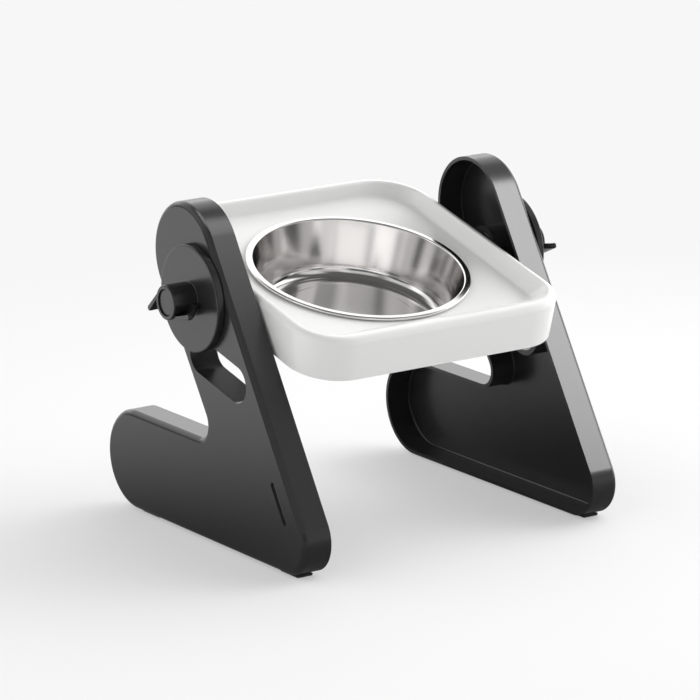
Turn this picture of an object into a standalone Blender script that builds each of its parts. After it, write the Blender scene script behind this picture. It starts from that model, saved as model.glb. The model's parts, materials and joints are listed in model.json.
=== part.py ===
"""Raised cat bowl stand: a tray with a lift-out bowl, clamped between two leg mouldings.

Metres, +Z up. The cat stands at -Y, so each leg's toe is at -Y and its heel at +Y.
The origin is on the floor, under the middle of the footprint.
"""
from math import acos, asin, atan2, cos, hypot, pi, radians, sin, sqrt, tan

import bmesh
import bpy

# Clearances
GAP = 0.0003              # between faces that rest on each other
SCREW_GAP = 0.0004        # around a shank in its bore, on the radius
MERGE = 0.00001

# Leg mouldings, in the (y, z) plane
LEG_LENGTH = 0.2200       # toe to heel
LEG_HEIGHT = 0.2000       # without the feet
LEG_SPREAD = 0.2210       # over the two outer faces
LEG_DEPTH = 0.0184        # how deep the shell is across
LEG_WALL = 0.0022
LEG_CHAMFER = 0.0032      # round the outer face
LOBE_RADIUS = 0.0335      # round top of the upright
HEEL_RADIUS = 0.0305      # half the height of the arm
TOE_RADIUS = 0.0202
NOTCH_RADIUS = 0.0098     # fillet between the arm and the upright
UPRIGHT_LEAN = radians(35.55)
BACK_LEAN = radians(1.85)  # the back edge leans this much more than the front edge

# Guide slot: down from the pivot, then forward and down
PIVOT_FORWARD = 0.0136    # from the lobe's centre
PIVOT_DOWN = 0.0207
SLOT_WIDTH = 0.0220
SLOT_DROP = 0.0342
SLOT_LEAN = radians(4.5)
SLOT_REACH = 0.0401
SLOT_FALL = radians(13.6)
SLOT_FILLET = 0.0060
SLOT_COLLAR = 0.0032      # wall round the slot, as deep as the shell

# Narrow slot near the toe, along the front edge
STRAP_SLOT_WIDTH = 0.0036
STRAP_SLOT_LENGTH = 0.0265
STRAP_SLOT_INSET = 0.0150
STRAP_SLOT_UP = 0.0208    # its middle, along the front edge from the toe's tangent point

# Rubber feet
FOOT_PROUD = 0.0015
FOOT_RISE = 0.0011        # how far the rubber climbs where the toe starts to curve
FOOT_LENGTH = 0.0190
FOOT_WIDTH = 0.0100
FOOT_INSET = 0.0095       # middle of a foot, in from the leg's outer face
FOOT_BEHIND_TOE = 0.0240  # middle of the front foot, from the leg's front end
FOOT_BEFORE_HEEL = 0.0420

# Tray, in its own frame: y along the tray, z up from the pivot axis
TRAY_TILT = radians(15)
TRAY_LENGTH = 0.1900
TRAY_FORWARD = 0.0036     # its middle lies ahead of the pivot
TRAY_WALL = 0.0022
TRAY_DRAFT = 0.0005
TRAY_CORNER_REAR = 0.0340
TRAY_CORNER_FRONT = 0.0290
RIM_UP = 0.0105           # at the rear
RIM_CLIMB = radians(0.9)  # the rim rises toward the cat
SKIRT_DOWN = 0.0134
RIM_ROUND = 0.0040
CREST_SIDE = 0.0052       # crest's inner edge, in from the outer wall
CREST_REAR = 0.0066
CREST_FRONT = 0.0080
FLOOR_SIDE = 0.0086       # floor's edge, in from the outer wall
FLOOR_REAR = 0.0108
FLOOR_FRONT = 0.0275
FLOOR_UP = 0.0021
FLOOR_CORNER_REAR = 0.0270
FLOOR_CORNER_FRONT = 0.0080
HOLE_COLLAR = 0.0080
RIB_THICKNESS = 0.0018
RIB_OFFSET = 0.0420       # each side of the bowl's middle
RIB_DEPTH = 0.0080

# Pivot plates on the tray's sides, and the threaded inserts behind them
PLATE_THICKNESS = 0.0015
PLATE_LENGTH = 0.0410
PLATE_HEIGHT = 0.0220
PLATE_TOP = 0.0100
PLATE_CORNER = 0.0040
PLATE_BEHIND = 0.0005     # its middle lies behind the pivot
PEG_RADIUS = 0.0016
PEG_LENGTH = 0.0032
PEG_SPREAD = 0.0290       # from one peg to the other
PEG_DOWN = 0.0060
INSERT_RADIUS = 0.0040
INSERT_LENGTH = 0.0052
INSERT_WAIST = 0.0035
BOSS_RADIUS = 0.0056
BOSS_LENGTH = 0.0064

# Bowl
BOWL_FORWARD = 0.0031     # its middle lies ahead of the pivot
BOWL_RADIUS = 0.0675      # over the rolled lip
BOWL_MOUTH = 0.0630
BOWL_BASE = 0.0570        # inner wall where the fillet starts
BOWL_DEPTH = 0.0340
BOWL_FILLET = 0.0130
BOWL_PANEL = 0.0400       # raised panel in the floor
BOWL_PANEL_RISE = 0.0010
BOWL_WALL = 0.0008
BOWL_LIP = 0.0021         # height of the rolled edge
BOWL_HOLE_GAP = 0.0009

# Clamp knobs and their screws
DISC_RADIUS = 0.0319
DISC_THICKNESS = 0.0044
DISC_ROUND = 0.0011
BARREL_RADIUS = 0.0103
BARREL_LENGTH = 0.0161
BARREL_ROUND = 0.0008
WING_BEAD = 0.0017        # radius of a wing's edge
WING_ANGLES = [radians(-19), radians(192)]
# Each pair: how far below the barrel's end, and from the axis to the bead's middle
WING_REACH = [(0.0014, 0.0223), (0.0032, 0.0227), (0.0058, 0.0210), (0.0095, 0.0171),
              (0.0129, 0.0130), (0.0158, 0.0110)]
KNOB_TURN = {"left": 0, "right": radians(-14)}
CAP_RADIUS = 0.0077
CAP_THICKNESS = 0.0016
CAP_RECESS = 0.0009
SHANK_RADIUS = 0.0030
HEAD_FLATS = 0.0100
HEAD_THICKNESS = 0.0040
SCREW_SHORT = 0.0004      # its tip, from the insert's inner end

# Places worked out from the sizes above
LEG_OUTSIDE = LEG_SPREAD / 2
LEG_INSIDE = LEG_OUTSIDE - LEG_DEPTH
TRAY_HALF = LEG_INSIDE - PLATE_THICKNESS - 2 * GAP
TOE = (-LEG_LENGTH / 2 + TOE_RADIUS, TOE_RADIUS + FOOT_PROUD)
HEEL = (LEG_LENGTH / 2 - HEEL_RADIUS, HEEL_RADIUS + FOOT_PROUD)
LOBE_Z = LEG_HEIGHT - LOBE_RADIUS + FOOT_PROUD
LOBE = (TOE[0] + (LOBE_Z - TOE[1]) * tan(UPRIGHT_LEAN), LOBE_Z)
PIVOT = (LOBE[0] - PIVOT_FORWARD, LOBE[1] - PIVOT_DOWN)
ELBOW = (PIVOT[0] - SLOT_DROP * sin(SLOT_LEAN), PIVOT[1] - SLOT_DROP * cos(SLOT_LEAN))
SLOT_END = (ELBOW[0] - SLOT_REACH * cos(SLOT_FALL), ELBOW[1] - SLOT_REACH * sin(SLOT_FALL))
KNOB_FACE = LEG_OUTSIDE + GAP
BARREL_END = KNOB_FACE + DISC_THICKNESS + BARREL_LENGTH
HEAD_OUTSIDE = BARREL_END - CAP_RECESS - CAP_THICKNESS - GAP
PLATE_INSIDE = TRAY_HALF + GAP
INSERT_INSIDE = TRAY_HALF - INSERT_LENGTH
PEG_PLACES = [(PLATE_BEHIND - PEG_SPREAD / 2, -PEG_DOWN),
              (PLATE_BEHIND + PEG_SPREAD / 2, -PEG_DOWN)]
LIP_BOTTOM = FLOOR_UP + GAP
LIP_TOP = LIP_BOTTOM + BOWL_LIP
HOLE_RADIUS = BOWL_MOUTH + BOWL_WALL + BOWL_HOLE_GAP
SIDES = {"left": -1, "right": 1}
ROUND = 32                # steps round a turned piece
SMALL_ROUND = 24          # steps round a bore, a screw or a boss
KNOB_STEPS = 40
EDGE_STEPS = 6            # steps along each straight edge of the tray
BOWL_STEPS = 56


def clear_scene():
    for item in list(bpy.data.objects):
        bpy.data.objects.remove(item)


def new_collection(name):
    group = bpy.data.collections.new(name)
    bpy.context.scene.collection.children.link(group)
    return group


def principled(name, colour, roughness, metallic=0.0):
    material = bpy.data.materials.new(name)
    material.use_nodes = True
    shader = material.node_tree.nodes["Principled BSDF"]
    shader.inputs["Base Color"].default_value = (*colour, 1)
    shader.inputs["Roughness"].default_value = roughness
    shader.inputs["Metallic"].default_value = metallic
    material.diffuse_color = (*colour, 1)
    return material


def black_plastic():
    return principled("black_plastic", (0.018, 0.018, 0.019), 0.28)


def white_plastic():
    return principled("white_plastic", (0.82, 0.82, 0.81), 0.22)


def stainless_steel():
    return principled("stainless_steel", (0.78, 0.77, 0.76), 0.10, 1.0)


def black_rubber():
    return principled("black_rubber", (0.025, 0.025, 0.025), 0.75)


def zinc_steel():
    return principled("zinc_steel", (0.60, 0.60, 0.58), 0.35, 1.0)


def brass():
    return principled("brass", (0.78, 0.57, 0.27), 0.32, 1.0)


def add_object(name, mesh, material=None, group=None, parent=None, location=(0, 0, 0)):
    """A named object in the parts or the cutters collection."""
    item = bpy.data.objects.new(name, mesh)
    item.location = location
    item.parent = parent
    if material:
        mesh.materials.append(material)
    if group is None:
        group = CUTTERS
        item.hide_render = True
        item.display_type = "WIRE"
    group.objects.link(item)
    return item


def add_empty(name, location, rotation=(0, 0, 0)):
    empty = bpy.data.objects.new(name, None)
    empty.location = location
    empty.rotation_euler = rotation
    PARTS.objects.link(empty)
    return empty


def shade(mesh, angle=radians(35)):
    mesh.shade_smooth()
    mesh.set_sharp_from_angle(angle=angle)


def skin(name, rings, cap_start, cap_end):
    """Bridge rings of equal length, each an (x, y, z) list, into one surface."""
    work = bmesh.new()
    rows = [[work.verts.new(point) for point in ring] for ring in rings]
    count = len(rings[0])
    for near, far in zip(rows, rows[1:]):
        for i in range(count):
            j = (i + 1) % count
            work.faces.new((near[i], near[j], far[j], far[i]))
    if cap_start:
        work.faces.new(reversed(rows[0]))
    if cap_end:
        work.faces.new(rows[-1])
    mesh = bpy.data.meshes.new(name)
    work.to_mesh(mesh)
    work.free()
    return mesh


def at_x(outline, x):
    return [(x, y, z) for y, z in outline]


def prism(name, outline, start, end):
    """A closed prism of an anticlockwise (y, z) outline between two places on X."""
    low, high = sorted((start, end))
    return skin(name, [at_x(outline, low), at_x(outline, high)], True, True)


def turned(name, profile, steps, **place):
    """An (r, z) profile turned about Z, outer side running down."""
    mesh = bpy.data.meshes.new(name)
    closed = profile[0][0] > 0
    edges = [(i, i + 1) for i in range(len(profile) - 1)]
    if closed:
        edges.append((len(profile) - 1, 0))
    mesh.from_pydata([(r, 0, z) for r, z in profile], edges, [])
    item = add_object(name, mesh, **place)
    screw = item.modifiers.new("turn", "SCREW")
    screw.steps = screw.render_steps = steps
    screw.use_merge_vertices = True
    screw.merge_threshold = MERGE
    screw.use_smooth_shade = True
    return item


def rod(name, radius, start, end, parent=None, place=(0, 0)):
    """A cutter or a boss along X, at a (y, z) place."""
    work = bmesh.new()
    bmesh.ops.create_cone(work, cap_ends=True, segments=SMALL_ROUND, radius1=radius,
                          radius2=radius, depth=abs(end - start))
    mesh = bpy.data.meshes.new(name)
    work.to_mesh(mesh)
    work.free()
    item = add_object(name, mesh, parent=parent, location=((start + end) / 2, *place))
    item.rotation_euler = (0, pi / 2, 0)
    return item


def combine(item, other, operation):
    step = item.modifiers.new(other.name, "BOOLEAN")
    step.operation = operation
    step.object = other


def arc(centre, radius, start, end, steps):
    """Points of an arc in the (y, z) plane, both ends kept."""
    angles = [start + (end - start) * i / steps for i in range(steps + 1)]
    return [(centre[0] + radius * cos(a), centre[1] + radius * sin(a)) for a in angles]


def front_normal():
    """Angle of the outward normal of the line that touches toe and lobe in front."""
    along, up = LOBE[0] - TOE[0], LOBE[1] - TOE[1]
    return atan2(up, along) + acos((TOE_RADIUS - LOBE_RADIUS) / hypot(along, up))


def leg_outline(inset):
    """The leg's outline, anticlockwise seen from +X, drawn in by an inset."""
    front = front_normal()
    back = front - pi - BACK_LEAN
    arm_top = 2 * HEEL_RADIUS + FOOT_PROUD
    notch_z = arm_top + NOTCH_RADIUS
    notch_y = LOBE[0] + (LOBE_RADIUS + NOTCH_RADIUS - (notch_z - LOBE[1]) * sin(back)) / cos(back)
    points = arc(HEEL, HEEL_RADIUS - inset, -pi / 2, pi / 2, 12)
    points += arc((notch_y, notch_z), NOTCH_RADIUS + inset, 1.5 * pi, back + pi, 6)
    points += arc(LOBE, LOBE_RADIUS - inset, back, front, 14)
    points += arc(TOE, TOE_RADIUS - inset, front, 1.5 * pi, 8)
    return points


def slot_outline(grow):
    """The guide slot's outline, let out by an amount."""
    half = SLOT_WIDTH / 2 + grow
    run = pi + SLOT_FALL
    above, below = run - pi / 2, run + pi / 2
    bend = pi / 2 + SLOT_FALL + SLOT_LEAN
    reach = (SLOT_WIDTH / 2 + SLOT_FILLET) / sin(bend / 2)
    toward = pi / 2 - SLOT_LEAN + bend / 2
    corner = (ELBOW[0] + reach * cos(toward), ELBOW[1] + reach * sin(toward))
    points = arc(PIVOT, half, -SLOT_LEAN, pi - SLOT_LEAN, 12)
    points += arc(corner, SLOT_FILLET - grow, -SLOT_LEAN, above - pi, 3)
    points += arc(SLOT_END, half, above, below, 10)
    points += arc(ELBOW, half, below - 2 * pi, -SLOT_LEAN, 6)
    return points


def strap_outline():
    """The narrow slot's outline, a straight slot with round ends."""
    normal = front_normal()
    along = normal - pi / 2
    base = (TOE[0] + (TOE_RADIUS - STRAP_SLOT_INSET) * cos(normal),
            TOE[1] + (TOE_RADIUS - STRAP_SLOT_INSET) * sin(normal))
    half = (STRAP_SLOT_LENGTH - STRAP_SLOT_WIDTH) / 2
    points = []
    for way in (1, -1):
        middle = STRAP_SLOT_UP + way * half
        end = (base[0] + middle * cos(along), base[1] + middle * sin(along))
        first = along - way * pi / 2 if way > 0 else along + pi / 2
        points += arc(end, STRAP_SLOT_WIDTH / 2, first, first + pi, 4)
    return points


def rounded_box(half, front, rear, front_corner, rear_corner, steps, between):
    """Corners of a rounded rectangle, anticlockwise from above, as (x, y) points."""
    centres = [(half - front_corner, front + front_corner, front_corner, -pi / 2),
               (half - rear_corner, rear - rear_corner, rear_corner, 0),
               (-half + rear_corner, rear - rear_corner, rear_corner, pi / 2),
               (-half + front_corner, front + front_corner, front_corner, pi)]
    corners = [arc((x, y), r, a, a + pi / 2, steps) for x, y, r, a in centres]
    points = []
    for corner, after in zip(corners, corners[1:] + corners[:1]):
        points += corner
        start, end = corner[-1], after[0]
        for i in range(1, between):
            share = i / between
            points.append((start[0] + (end[0] - start[0]) * share,
                           start[1] + (end[1] - start[1]) * share))
    return points


def build_leg(side, way, material):
    """A shell moulding, open on the side that faces the tray."""
    sections = [(LEG_INSIDE, 0), (LEG_OUTSIDE - LEG_CHAMFER, 0), (LEG_OUTSIDE, LEG_CHAMFER)]
    rings = [at_x(leg_outline(inset), way * x) for x, inset in sections]
    mesh = skin("leg_" + side, rings, False, True)
    if way < 0:
        mesh.flip_normals()
    shade(mesh)
    leg = add_object("leg_" + side, mesh, material, PARTS)
    shell = leg.modifiers.new("shell", "SOLIDIFY")
    shell.thickness = LEG_WALL
    shell.offset = -1
    shell.use_even_offset = True
    middle = LEG_OUTSIDE - LEG_WALL / 2
    collar = prism("collar_" + side, slot_outline(SLOT_COLLAR), way * LEG_INSIDE, way * middle)
    combine(leg, add_object("collar_" + side, collar), "UNION")
    for cutter, outline in (("slot_", slot_outline(0)), ("strap_slot_", strap_outline())):
        cut = prism(cutter + side, outline, way * (LEG_INSIDE - LEG_WALL),
                    way * (LEG_OUTSIDE + LEG_WALL))
        combine(leg, add_object(cutter + side, cut), "DIFFERENCE")
    return leg


def build_foot(name, way, middle, material):
    """A rubber pad under the leg, shaped to the moulding above it."""
    top = FOOT_PROUD + FOOT_RISE
    corner = FOOT_PROUD / 2
    outline = [(middle - FOOT_LENGTH / 2 + corner, 0), (middle + FOOT_LENGTH / 2 - corner, 0),
               (middle + FOOT_LENGTH / 2, corner), (middle + FOOT_LENGTH / 2, top),
               (middle - FOOT_LENGTH / 2, top), (middle - FOOT_LENGTH / 2, corner)]
    across = LEG_OUTSIDE - FOOT_INSET
    mesh = prism(name, outline, way * (across - FOOT_WIDTH / 2), way * (across + FOOT_WIDTH / 2))
    foot = add_object(name, mesh, material, PARTS)
    leg = prism("leg_over_" + name, leg_outline(-GAP), way * (LEG_INSIDE - LEG_WALL),
                way * (LEG_OUTSIDE + LEG_WALL))
    combine(foot, add_object("leg_over_" + name, leg), "DIFFERENCE")
    return foot


def tray_sections():
    """Rings from the skirt's lower edge over the rim to the hole's collar."""
    middle = -TRAY_FORWARD
    front, rear = middle - TRAY_LENGTH / 2, middle + TRAY_LENGTH / 2

    def ring(side_in, rear_in, front_in, front_corner, rear_corner, z, climb=0.0):
        outline = rounded_box(TRAY_HALF - side_in, front + front_in, rear - rear_in,
                              front_corner, rear_corner, 5, EDGE_STEPS)
        return [(x, y, z + (rear - y) * climb) for x, y in outline]

    rings = [ring(TRAY_DRAFT, TRAY_DRAFT, TRAY_DRAFT, TRAY_CORNER_FRONT, TRAY_CORNER_REAR,
                  -SKIRT_DOWN)]
    climb = tan(RIM_CLIMB)
    for i in range(4):
        turn = i * pi / 6
        inset = RIM_ROUND * (1 - cos(turn))
        rings.append(ring(inset, inset, inset, TRAY_CORNER_FRONT - inset,
                          TRAY_CORNER_REAR - inset, RIM_UP - RIM_ROUND * (1 - sin(turn)), climb))
    rings.append(ring(CREST_SIDE, CREST_REAR, CREST_FRONT, TRAY_CORNER_FRONT - CREST_FRONT,
                      TRAY_CORNER_REAR - CREST_REAR, RIM_UP, climb))
    rings.append(ring(FLOOR_SIDE, FLOOR_REAR, FLOOR_FRONT, FLOOR_CORNER_FRONT,
                      FLOOR_CORNER_REAR, FLOOR_UP))
    count = len(rings[0])
    start = -pi / 2 + EDGE_STEPS * pi / count
    hole = arc((0, -BOWL_FORWARD), HOLE_RADIUS, start, start + 2 * pi, count)[:-1]
    rings += [[(x, y, z) for x, y in hole] for z in (FLOOR_UP, FLOOR_UP - HOLE_COLLAR)]
    return rings


def hexagon(flats):
    return arc((0, 0), flats / sqrt(3), pi / 6, pi / 6 + 5 * pi / 3, 5)


def build_tray(pivot, material):
    """White moulding: basin, rim, skirt, ribs and the bosses of the inserts."""
    mesh = skin("tray", tray_sections(), False, False)
    shade(mesh, radians(28))
    tray = add_object("tray", mesh, material, PARTS, pivot)
    shell = tray.modifiers.new("shell", "SOLIDIFY")
    shell.thickness = TRAY_WALL
    shell.offset = -1
    shell.use_even_offset = True
    inside = TRAY_HALF - TRAY_WALL / 2
    for side, way in SIDES.items():
        for number, place in enumerate((-RIB_OFFSET, RIB_OFFSET)):
            y = place - BOWL_FORWARD
            start = sqrt(HOLE_RADIUS ** 2 - (abs(place) - RIB_THICKNESS) ** 2) + TRAY_WALL / 2
            rib = prism("rib", [(y - RIB_THICKNESS / 2, FLOOR_UP - RIB_DEPTH),
                                (y + RIB_THICKNESS / 2, FLOOR_UP - RIB_DEPTH),
                                (y + RIB_THICKNESS / 2, FLOOR_UP - TRAY_WALL / 2),
                                (y - RIB_THICKNESS / 2, FLOOR_UP - TRAY_WALL / 2)],
                        way * start, way * inside)
            combine(tray, add_object(f"rib_{side}_{number}", rib, parent=pivot), "UNION")
        boss = rod("boss_" + side, BOSS_RADIUS, way * (TRAY_HALF - BOSS_LENGTH), way * inside,
                   pivot)
        combine(tray, boss, "UNION")
        bore = rod("boss_bore_" + side, INSERT_RADIUS + GAP, way * (INSERT_INSIDE - GAP),
                   way * (TRAY_HALF + TRAY_WALL), pivot)
        combine(tray, bore, "DIFFERENCE")
        for number, place in enumerate(PEG_PLACES):
            hole = rod(f"peg_hole_{side}_{number}", PEG_RADIUS + GAP,
                       way * (TRAY_HALF - 2 * TRAY_WALL), way * (TRAY_HALF + TRAY_WALL), pivot,
                       place)
            combine(tray, hole, "DIFFERENCE")
    return tray


def build_insert(side, way, pivot, material):
    """Knurled bush in the tray's boss, without its thread or its knurling."""
    bore, length = SHANK_RADIUS + GAP, INSERT_LENGTH
    profile = [(bore, length), (INSERT_RADIUS, length), (INSERT_RADIUS, 0.62 * length),
               (INSERT_WAIST, 0.54 * length), (INSERT_WAIST, 0.46 * length),
               (INSERT_RADIUS, 0.38 * length), (INSERT_RADIUS, 0), (bore, 0)]
    insert = turned("threaded_insert_" + side, profile, SMALL_ROUND, material=material,
                    group=PARTS, parent=pivot, location=(way * INSERT_INSIDE, 0, 0))
    insert.rotation_euler = (0, way * pi / 2, 0)
    return insert


def build_plate(side, way, pivot, material):
    """The thin black plate that rubs on the leg, pegged to the tray's side."""
    outline = rounded_box(PLATE_LENGTH / 2, PLATE_TOP - PLATE_HEIGHT, PLATE_TOP, PLATE_CORNER,
                          PLATE_CORNER, 5, 1)
    outline = [(y + PLATE_BEHIND, z) for y, z in outline]
    outside = PLATE_INSIDE + PLATE_THICKNESS
    mesh = prism("pivot_plate_" + side, outline, way * PLATE_INSIDE, way * outside)
    plate = add_object("pivot_plate_" + side, mesh, material, PARTS, pivot)
    for number, place in enumerate(PEG_PLACES):
        peg = rod(f"peg_{side}_{number}", PEG_RADIUS, way * (PLATE_INSIDE - PEG_LENGTH),
                  way * (PLATE_INSIDE + PLATE_THICKNESS / 2), pivot, place)
        combine(plate, peg, "UNION")
    bore = rod("plate_bore_" + side, SHANK_RADIUS + SCREW_GAP, way * (PLATE_INSIDE - GAP),
               way * (outside + GAP), pivot)
    combine(plate, bore, "DIFFERENCE")
    return plate


def bowl_profile():
    """Half section of the pressed bowl, from the middle of its floor round to its underside."""
    lip = BOWL_LIP / 2
    rim = BOWL_MOUTH + lip
    floor = LIP_TOP - BOWL_DEPTH
    bend = BOWL_FILLET
    flat = BOWL_BASE - bend
    inner = [(0, floor + BOWL_PANEL_RISE), (BOWL_PANEL, floor + BOWL_PANEL_RISE),
             (BOWL_PANEL + 2 * BOWL_PANEL_RISE, floor), (flat, floor)]
    inner += arc((flat, floor + bend), bend, -pi / 2 + pi / 12, 0, 5)
    inner += arc((rim, LIP_TOP - lip), lip, pi, pi / 2, 3)
    edge = arc((BOWL_RADIUS - lip, LIP_TOP - lip), lip, pi / 2, -pi / 2, 6)
    outer = [(BOWL_RADIUS - lip, LIP_BOTTOM + BOWL_WALL), (rim, LIP_TOP - BOWL_WALL)]
    outer += [(BOWL_MOUTH + BOWL_WALL, LIP_TOP - BOWL_LIP)]
    outer += arc((flat, floor + bend), bend + BOWL_WALL, 0, -pi / 2, 6)
    under = floor - BOWL_WALL
    outer += [(BOWL_PANEL + 2 * BOWL_PANEL_RISE, under), (BOWL_PANEL, under + BOWL_PANEL_RISE),
              (0, under + BOWL_PANEL_RISE)]
    return inner + edge + outer


def build_bowl(pivot, material):
    """Stainless bowl, resting on the tray by its rolled lip."""
    return turned("bowl", bowl_profile(), BOWL_STEPS, material=material, group=PARTS,
                  parent=pivot, location=(0, -BOWL_FORWARD, 0))


def build_bush(side, way, carriage, material):
    """The round guide that fills the slot's width and runs up and down in it."""
    radius = SLOT_WIDTH / 2 - GAP
    bore = SHANK_RADIUS + SCREW_GAP
    length = LEG_DEPTH - 2 * GAP
    edge = 4 * GAP
    profile = [(bore, length), (radius - edge, length), (radius, length - edge), (radius, edge),
               (radius - edge, 0), (bore, 0)]
    bush = turned("slot_bush_" + side, profile, ROUND, material=material, group=PARTS,
                  parent=carriage, location=(way * (LEG_INSIDE + GAP), 0, 0))
    bush.rotation_euler = (0, way * pi / 2, 0)
    return bush


def wing_outline(reach, turn):
    """Both wings at one place along the barrel, each sloped on one side and flat on the other."""
    lean = acos((BARREL_RADIUS - WING_BEAD) / reach)
    root = asin(WING_BEAD / BARREL_RADIUS)
    points = []
    for arm, after in zip(WING_ANGLES, (WING_ANGLES[1], WING_ANGLES[0] + 2 * pi)):
        arm, after = arm + turn, after + turn
        tip = (reach * cos(arm), reach * sin(arm))
        points += arc(tip, WING_BEAD, arm - pi / 2, arm + lean, 7)
        points += arc((0, 0), BARREL_RADIUS - GAP, arm + lean, after - root, 5)
    return points


def build_knob(side, way, axis, material):
    """Clamp disc, barrel and two finger wings in one moulding, bored for the screw."""
    face, end = DISC_THICKNESS, DISC_THICKNESS + BARREL_LENGTH
    cap_bore, bore = CAP_RADIUS + GAP, SHANK_RADIUS + SCREW_GAP
    cap_seat = end - CAP_RECESS - CAP_THICKNESS - GAP
    profile = [(0, end)]
    profile += arc((BARREL_RADIUS - BARREL_ROUND, end - BARREL_ROUND), BARREL_ROUND, pi / 2, 0, 2)
    profile += [(BARREL_RADIUS, face)]
    profile += arc((DISC_RADIUS - DISC_ROUND, face - DISC_ROUND), DISC_ROUND, pi / 2, 0, 3)
    profile += [(DISC_RADIUS, GAP), (DISC_RADIUS - GAP, 0), (0, 0)]
    knob = turned("clamp_knob_" + side, profile, KNOB_STEPS, material=material, group=PARTS,
                  parent=axis, location=(way * KNOB_FACE, 0, 0))
    knob.rotation_euler = (0, way * pi / 2, 0)
    rings = [at_x(wing_outline(reach, KNOB_TURN[side]), way * (BARREL_END - down))
             for down, reach in WING_REACH]
    if way > 0:
        rings.reverse()
    wings = skin("wings_" + side, rings, True, True)
    combine(knob, add_object("wings_" + side, wings, parent=axis), "UNION")
    hollow = [(0, end + GAP), (cap_bore, end + GAP), (cap_bore, cap_seat), (bore, cap_seat),
              (bore, -GAP), (0, -GAP)]
    cutter = turned("knob_bore_" + side, hollow, ROUND, parent=axis,
                    location=(way * KNOB_FACE, 0, 0))
    cutter.rotation_euler = (0, way * pi / 2, 0)
    combine(knob, cutter, "DIFFERENCE")
    pocket = prism("head_pocket_" + side, hexagon(HEAD_FLATS + 2 * GAP),
                   way * (HEAD_OUTSIDE - HEAD_THICKNESS - GAP), way * (BARREL_END + GAP))
    combine(knob, add_object("head_pocket_" + side, pocket, parent=axis), "DIFFERENCE")
    return knob


def build_cap(side, way, axis, material):
    """The flat disc that closes the barrel over the screw's head."""
    edge = 2 * GAP
    profile = [(0, CAP_THICKNESS), (CAP_RADIUS - edge, CAP_THICKNESS),
               (CAP_RADIUS, CAP_THICKNESS - edge), (CAP_RADIUS, 0), (0, 0)]
    cap = turned("knob_cap_" + side, profile, ROUND, material=material, group=PARTS,
                 parent=axis, location=(way * (HEAD_OUTSIDE + GAP), 0, 0))
    cap.rotation_euler = (0, way * pi / 2, 0)
    return cap


def build_screw(side, way, axis, material):
    """Hexagon head screw, from the knob through the slot into the tray's insert."""
    name = "clamp_screw_" + side
    head = prism(name, hexagon(HEAD_FLATS), way * (HEAD_OUTSIDE - HEAD_THICKNESS),
                 way * HEAD_OUTSIDE)
    screw = add_object(name, head, material, PARTS, axis)
    shank = rod("shank_" + side, SHANK_RADIUS, way * (INSERT_INSIDE + SCREW_SHORT),
                way * (HEAD_OUTSIDE - HEAD_THICKNESS / 2), axis)
    combine(screw, shank, "UNION")
    return screw


def build_stand():
    black, white, steel = black_plastic(), white_plastic(), stainless_steel()
    rubber, zinc, yellow = black_rubber(), zinc_steel(), brass()
    pivot_place = (0, PIVOT[0], PIVOT[1])
    carriage = add_empty("carriage", pivot_place)
    pivot = add_empty("tray_pivot", pivot_place, (TRAY_TILT, 0, 0))
    build_tray(pivot, white)
    build_bowl(pivot, steel)
    front_foot = -LEG_LENGTH / 2 + FOOT_BEHIND_TOE
    rear_foot = LEG_LENGTH / 2 - FOOT_BEFORE_HEEL
    for side, way in SIDES.items():
        axis = add_empty("knob_axis_" + side, pivot_place)
        build_leg(side, way, black)
        build_foot("foot_front_" + side, way, front_foot, rubber)
        build_foot("foot_rear_" + side, way, rear_foot, rubber)
        build_bush(side, way, carriage, black)
        build_plate(side, way, pivot, black)
        build_insert(side, way, pivot, yellow)
        build_knob(side, way, axis, black)
        build_cap(side, way, axis, black)
        build_screw(side, way, axis, zinc)


clear_scene()
PARTS = new_collection("raised_cat_bowl_stand")
CUTTERS = new_collection("cutters")
build_stand()
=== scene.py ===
"""Raised cat bowl stand: finished mouldings, bowl, knobs, studio and camera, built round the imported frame.

Metres, +Z up. The cat stands at -Y. The tray's own pieces are made level, with the clamp axis as their
origin, and are then tilted into place.
"""
import json
from math import acos, asin, atan2, cos, hypot, pi, radians, sin, sqrt, tan

import bmesh
import bpy
from mathutils import Matrix, Vector


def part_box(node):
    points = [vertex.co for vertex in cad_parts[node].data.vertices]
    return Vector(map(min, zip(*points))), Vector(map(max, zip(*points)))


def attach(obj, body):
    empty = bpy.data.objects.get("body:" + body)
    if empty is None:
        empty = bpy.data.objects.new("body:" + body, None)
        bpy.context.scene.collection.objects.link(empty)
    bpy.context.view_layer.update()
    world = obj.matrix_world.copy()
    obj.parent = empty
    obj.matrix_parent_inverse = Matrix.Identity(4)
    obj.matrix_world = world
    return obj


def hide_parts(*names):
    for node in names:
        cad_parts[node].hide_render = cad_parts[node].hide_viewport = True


bl_info = {
    "name": "Raised Cat Bowl Stand",
    "version": (1, 0, 0),
    "blender": (4, 5, 0),
    "location": "3D View > Sidebar > Bowl Stand",
    "description": "Builds a tilting bowl stand with its materials, studio and camera",
    "category": "Object",
}

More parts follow.
